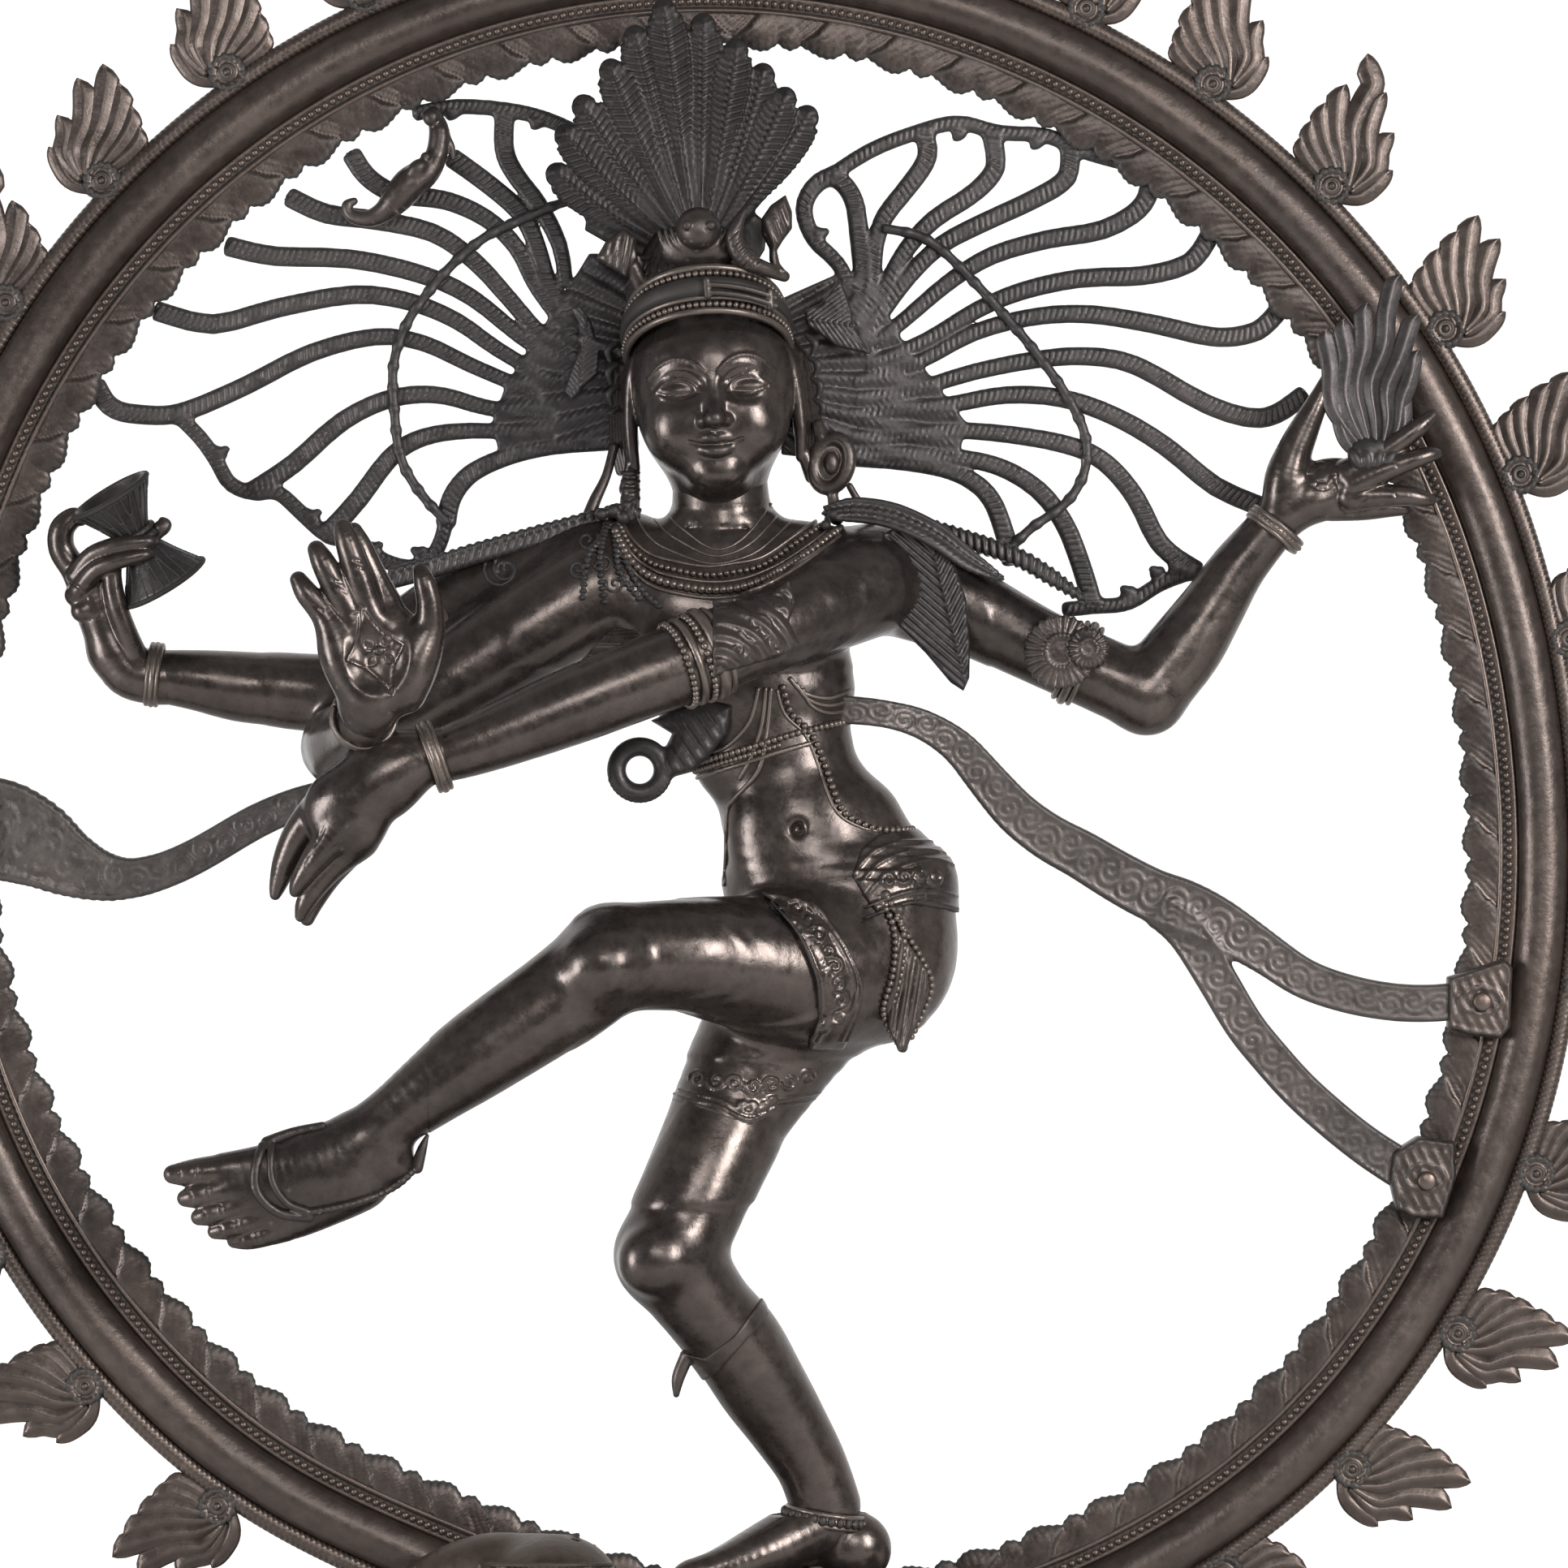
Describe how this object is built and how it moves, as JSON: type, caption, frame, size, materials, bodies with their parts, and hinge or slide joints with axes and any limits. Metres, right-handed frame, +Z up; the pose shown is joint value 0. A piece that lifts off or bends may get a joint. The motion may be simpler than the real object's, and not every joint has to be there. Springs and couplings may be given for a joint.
{
  "type": "ritual dancer statue",
  "caption": "Cast brass dancing figure with dark patina inside a ring of flames, standing on a crouching dwarf over a lotus pedestal.",
  "frame": {"origin": "centre of the bounding box in plan, on the plinth's resting face", "axes": "+Z up, the figure faces -Y, +X to the viewer's right"},
  "size_m": [0.5909, 0.19, 0.6704],
  "materials": {
    "figure_brass": "dark brown patina, satin, warm where worn smooth",
    "ring_brass": "dark brown patina, satin, brown highlights on the tube",
    "open_work_brass": "darker patina, dull satin with grey dust in the chasing",
    "ornament_brass": "dark patina rubbed lighter on the raised beads",
    "pedestal_brass": "dark brown patina, satin, darker in the recesses",
    "fastener_brass": "plain turned brass, dull"
  },
  "bodies": {
    "root": {"plinth": "pedestal_brass", "lotus_pedestal": "pedestal_brass", "lotus_petals": "pedestal_brass", "base_studs": "fastener_brass", "base_washers": "fastener_brass", "base_nuts": "fastener_brass", "prabha_tube": "ring_brass", "prabha_rope_rim": "ring_brass", "prabha_bead_row": "ring_brass", "prabha_leaf_fringe": "ring_brass", "prabha_flames": "ring_brass", "prabha_rosettes": "ring_brass", "prabha_tenon": "ring_brass", "prabha_pin": "fastener_brass", "sash_lugs": "ring_brass", "lug_rivets": "fastener_brass", "dwarf_body": "figure_brass", "dwarf_head": "figure_brass", "dwarf_limbs": "figure_brass", "foot_tenon": "fastener_brass", "torso": "figure_brass", "head": "figure_brass", "diadem": "ornament_brass", "skull_ornament": "ornament_brass", "crown_serpent": "open_work_brass", "feather_crest": "open_work_brass", "hair_fan_left": "open_work_brass", "hair_fan_right": "open_work_brass", "hair_band_left": "open_work_brass", "hair_band_right": "open_work_brass", "hair_figurine": "open_work_brass", "ear_ornament_long": "ornament_brass", "ear_ornament_round": "ornament_brass", "ear_leaves": "open_work_brass", "front_right_arm": "figure_brass", "front_left_arm": "figure_brass", "back_right_arm": "figure_brass", "back_left_arm": "figure_brass", "drum": "open_work_brass", "drum_band": "ornament_brass", "hand_flame": "open_work_brass", "raised_leg": "figure_brass", "standing_leg": "figure_brass", "necklaces": "ornament_brass", "sacred_thread": "ornament_brass", "chest_band": "ornament_brass", "waist_loop": "ornament_brass", "shoulder_leaf": "open_work_brass", "shoulder_ribbon": "open_work_brass", "armlets": "ornament_brass", "bangles": "ornament_brass", "waist_cloth": "ornament_brass", "thigh_bands": "ornament_brass", "belt_pendant": "ornament_brass", "anklets": "ornament_brass", "sash_right": "open_work_brass", "sash_left": "open_work_brass"}
  },
  "joints": []
}
